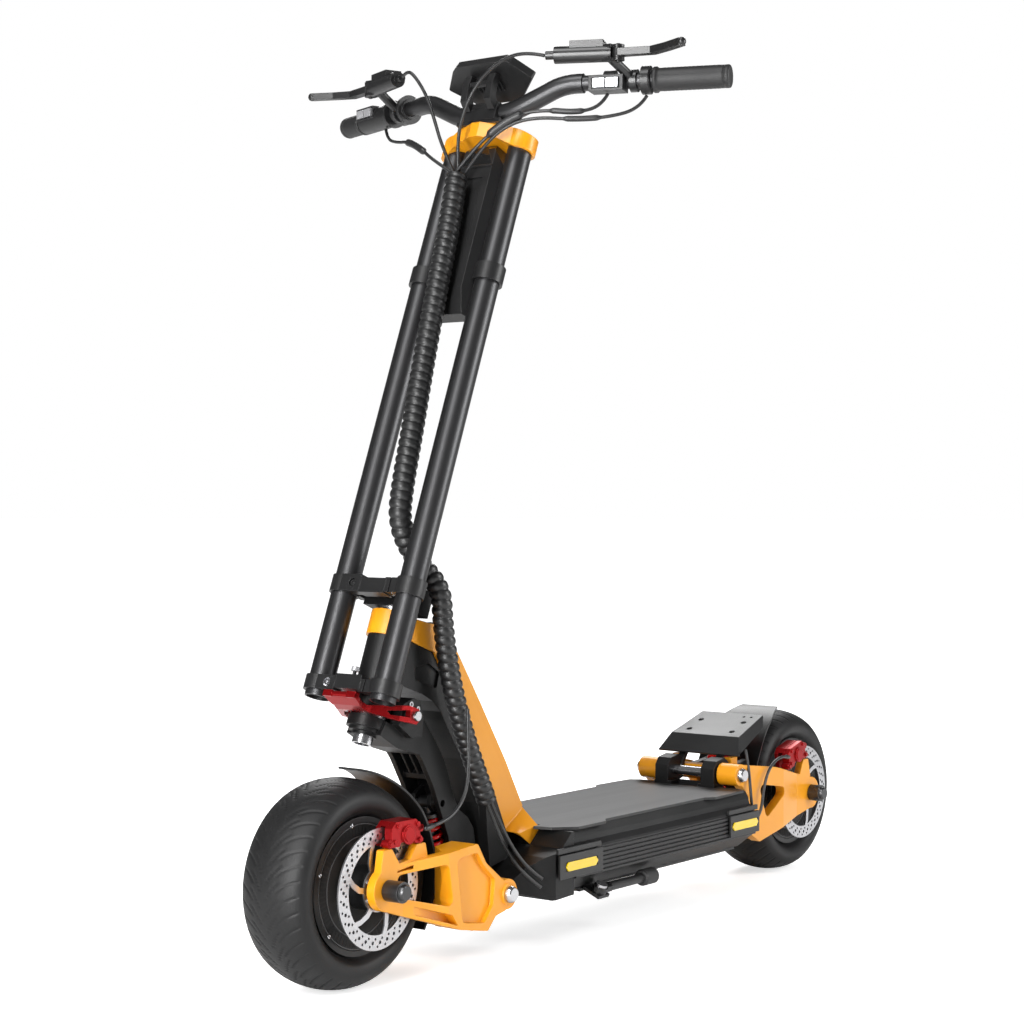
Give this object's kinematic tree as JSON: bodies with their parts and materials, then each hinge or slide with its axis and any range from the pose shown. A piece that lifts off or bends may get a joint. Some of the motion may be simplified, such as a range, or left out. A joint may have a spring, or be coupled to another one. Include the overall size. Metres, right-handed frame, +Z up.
{
  "type": "electric kick scooter",
  "caption": "Folding electric kick scooter: twin-tube stem, leading and trailing swing arms with coil shocks, hub-motor wheels with disc brakes, wide deck and raised heel rest.",
  "frame": {"origin": "on the ground, midway between the two axles and on the centre plane", "axes": "+X forward, +Y to the rider's left, +Z up"},
  "size_m": [1.43, 0.7132, 1.2895],
  "materials": {
    "neck_frame": "satin black powder coat",
    "neck_trim": "glossy orange-yellow paint",
    "deck_chassis": "satin black powder coat",
    "deck_mat": "matt rubber with fine grip",
    "corner_pods": "moulded black plastic",
    "side_reflectors": "yellow reflector plastic",
    "underbody": "satin black powder coat",
    "battery_pack": "shrink-wrapped cells",
    "motor_controllers": "finned controller case",
    "rear_mount": "satin black powder coat",
    "foot_plate": "satin black powder coat",
    "frame_fasteners": "bright machined steel",
    "lower_cables": "black cable sheath",
    "fork": "satin black powder coat",
    "steerer": "bright machined steel",
    "hinge_block": "satin black powder coat",
    "fork_pins": "bright machined steel",
    "fold_latch": "red anodised aluminium",
    "stem_tubes": "satin black anodised tube",
    "stem_bridges": "satin black powder coat",
    "top_clamp": "glossy orange-yellow paint",
    "control_box": "gloss black plastic",
    "handlebar": "satin black anodised tube",
    "bar_clamp": "satin black powder coat",
    "display": "gloss black plastic",
    "grips": "matt rubber with fine grip",
    "switch_pods": "moulded black plastic",
    "brake_masters": "semi-gloss black alloy",
    "upper_cables": "black cable sheath",
    "spiral_hose": "black cable sheath",
    "front_arm": "glossy orange-yellow paint",
    "front_axle": "bright machined steel",
    "front_caliper": "red anodised aluminium",
    "front_fender": "moulded black plastic",
    "front_tyre": "rubber with road tread",
    "front_hub": "black cast aluminium",
    "front_motor_covers": "black cast aluminium",
    "front_disc": "ground stainless steel",
    "front_shock_body": "machined damper parts",
    "front_spring": "gloss red powder coat on spring steel",
    "front_shock_rod": "machined damper parts",
    "rear_arm": "glossy orange-yellow paint",
    "rear_axle": "bright machined steel",
    "rear_caliper": "red anodised aluminium",
    "rear_fender": "moulded black plastic",
    "rear_tyre": "rubber with road tread",
    "rear_hub": "black cast aluminium",
    "rear_motor_covers": "black cast aluminium",
    "rear_disc": "ground stainless steel",
    "rear_shock_body": "machined damper parts",
    "rear_spring": "gloss red powder coat on spring steel",
    "rear_shock_rod": "machined damper parts",
    "brake_lever_left": "semi-gloss black alloy",
    "brake_lever_right": "semi-gloss black alloy",
    "throttle": "moulded black plastic",
    "button_horn": "silver key caps",
    "button_lights": "silver key caps",
    "button_power": "silver key caps",
    "button_mode": "silver key caps",
    "kickstand": "black leg with rubber foot"
  },
  "bodies": {
    "frame": {"neck_frame": "neck_frame", "neck_trim": "neck_trim", "deck_chassis": "deck_chassis", "deck_mat": "deck_mat", "corner_pods": "corner_pods", "side_reflectors": "side_reflectors", "underbody": "underbody", "battery_pack": "battery_pack", "motor_controllers": "motor_controllers", "rear_mount": "rear_mount", "foot_plate": "foot_plate", "frame_fasteners": "frame_fasteners", "lower_cables": "lower_cables"},
    "fork": {"fork": "fork", "steerer": "steerer", "hinge_block": "hinge_block", "fork_pins": "fork_pins"},
    "latch": {"fold_latch": "fold_latch"},
    "stem": {"stem_tubes": "stem_tubes", "stem_bridges": "stem_bridges", "top_clamp": "top_clamp", "control_box": "control_box", "handlebar": "handlebar", "bar_clamp": "bar_clamp", "display": "display", "grips": "grips", "switch_pods": "switch_pods", "brake_masters": "brake_masters", "upper_cables": "upper_cables", "spiral_hose": "spiral_hose"},
    "front_swing_arm": {"front_arm": "front_arm", "front_axle": "front_axle", "front_caliper": "front_caliper", "front_fender": "front_fender"},
    "front_wheel": {"front_tyre": "front_tyre", "front_hub": "front_hub", "front_motor_covers": "front_motor_covers", "front_disc": "front_disc"},
    "front_shock_upper": {"front_shock_body": "front_shock_body", "front_spring": "front_spring"},
    "front_shock_lower": {"front_shock_rod": "front_shock_rod"},
    "rear_swing_arm": {"rear_arm": "rear_arm", "rear_axle": "rear_axle", "rear_caliper": "rear_caliper", "rear_fender": "rear_fender"},
    "rear_wheel": {"rear_tyre": "rear_tyre", "rear_hub": "rear_hub", "rear_motor_covers": "rear_motor_covers", "rear_disc": "rear_disc"},
    "rear_shock_upper": {"rear_shock_body": "rear_shock_body", "rear_spring": "rear_spring"},
    "rear_shock_lower": {"rear_shock_rod": "rear_shock_rod"},
    "lever_left": {"brake_lever_left": "brake_lever_left"},
    "lever_right": {"brake_lever_right": "brake_lever_right"},
    "thumb_throttle": {"throttle": "throttle"},
    "horn_key": {"button_horn": "button_horn"},
    "lights_key": {"button_lights": "button_lights"},
    "power_key": {"button_power": "button_power"},
    "mode_key": {"button_mode": "button_mode"},
    "kickstand": {"kickstand": "kickstand"}
  },
  "joints": [
    {"name": "steer", "type": "hinge", "parent": "frame", "child": "fork", "pos_m": [0.48271, 0, 0.41997], "axis": [-0.3665, 0, 0.9304], "range_deg": [-40, 40], "deforming": ["spiral_hose", "lower_cables"]},
    {"name": "stem_fold", "type": "hinge", "parent": "fork", "child": "stem", "pos_m": [0.46337, 0, 0.5209], "axis": [0, -1, 0], "range_deg": [0, 86], "deforming": ["upper_cables"]},
    {"name": "latch_turn", "type": "hinge", "parent": "fork", "child": "latch", "pos_m": [0.47625, 0, 0.35723], "axis": [0, 1, 0], "range_deg": [0, 13]},
    {"name": "front_suspension", "type": "hinge", "parent": "fork", "child": "front_swing_arm", "pos_m": [0.338, 0, 0.102], "axis": [0, -1, 0], "range_deg": [-3, 6], "stiffness_Nm_per_rad": 900, "springref_deg": -3.44, "deforming": ["front_spring"]},
    {"name": "front_wheel_spin", "type": "hinge", "parent": "front_swing_arm", "child": "front_wheel", "pos_m": [0.575, 0, 0.14], "axis": [0, 1, 0], "continuous": true},
    {"name": "front_shock_swing", "type": "hinge", "parent": "fork", "child": "front_shock_upper", "pos_m": [0.384, 0, 0.226], "axis": [0, -1, 0], "range_deg": [-8, 8]},
    {"name": "front_shock_stroke", "type": "slide", "parent": "front_shock_upper", "child": "front_shock_lower", "axis": [0.1667, 0, 0.986], "range_m": [-0.006, 0.006]},
    {"name": "rear_suspension", "type": "hinge", "parent": "frame", "child": "rear_swing_arm", "pos_m": [-0.32, 0, 0.197], "axis": [0, 1, 0], "range_deg": [-3, 6], "stiffness_Nm_per_rad": 900, "springref_deg": -3.44, "deforming": ["rear_spring"]},
    {"name": "rear_wheel_spin", "type": "hinge", "parent": "rear_swing_arm", "child": "rear_wheel", "pos_m": [-0.575, 0, 0.14], "axis": [0, 1, 0], "continuous": true},
    {"name": "rear_shock_swing", "type": "hinge", "parent": "frame", "child": "rear_shock_upper", "pos_m": [-0.416, 0, 0.25], "axis": [0, 1, 0], "range_deg": [-8, 8]},
    {"name": "rear_shock_stroke", "type": "slide", "parent": "rear_shock_upper", "child": "rear_shock_lower", "axis": [-0.2467, 0, 0.9691], "range_m": [-0.006, 0.011]},
    {"name": "kickstand_turn", "type": "hinge", "parent": "frame", "child": "kickstand", "pos_m": [0.112, 0.11, 0.076], "axis": [0, -0.4003, -0.9164], "range_deg": [0, 100]},
    {"name": "brake_left", "type": "hinge", "parent": "stem", "child": "lever_left", "pos_m": [0.243, 0.226, 1.271], "axis": [0, 0, 1], "range_deg": [0, 20], "stiffness_Nm_per_rad": 1.2, "springref_deg": -11.46},
    {"name": "brake_right", "type": "hinge", "parent": "stem", "child": "lever_right", "pos_m": [0.243, -0.226, 1.271], "axis": [0, 0, -1], "range_deg": [0, 20], "stiffness_Nm_per_rad": 1.2, "springref_deg": -11.46},
    {"name": "throttle_turn", "type": "hinge", "parent": "stem", "child": "thumb_throttle", "pos_m": [0.1805, -0.26, 1.2402], "axis": [-0.3131, -0.9496, -0.0124], "range_deg": [0, 30], "stiffness_Nm_per_rad": 0.3, "springref_deg": -17.19},
    {"name": "horn_press", "type": "slide", "parent": "stem", "child": "horn_key", "axis": [-0.9496, -0.3134, 0], "range_m": [0, 0.0012], "stiffness_N_per_m": 600, "springref_m": -0.0008},
    {"name": "lights_press", "type": "slide", "parent": "stem", "child": "lights_key", "axis": [-0.9496, -0.3134, 0], "range_m": [0, 0.0012], "stiffness_N_per_m": 600, "springref_m": -0.0008},
    {"name": "power_press", "type": "slide", "parent": "stem", "child": "power_key", "axis": [-0.9496, 0.3134, 0], "range_m": [0, 0.0015], "stiffness_N_per_m": 600, "springref_m": -0.0008},
    {"name": "mode_press", "type": "slide", "parent": "stem", "child": "mode_key", "axis": [-0.9496, 0.3134, 0], "range_m": [0, 0.0015], "stiffness_N_per_m": 600, "springref_m": -0.0008}
  ],
  "couplings": [
    {"joint": "front_shock_swing", "follows": "front_suspension", "ratio": 0.092915},
    {"joint": "front_shock_stroke", "follows": "front_suspension", "m_per_rad": 0.025102},
    {"joint": "rear_shock_swing", "follows": "rear_suspension", "ratio": 0.33042},
    {"joint": "rear_shock_stroke", "follows": "rear_suspension", "m_per_rad": 0.080792}
  ]
}
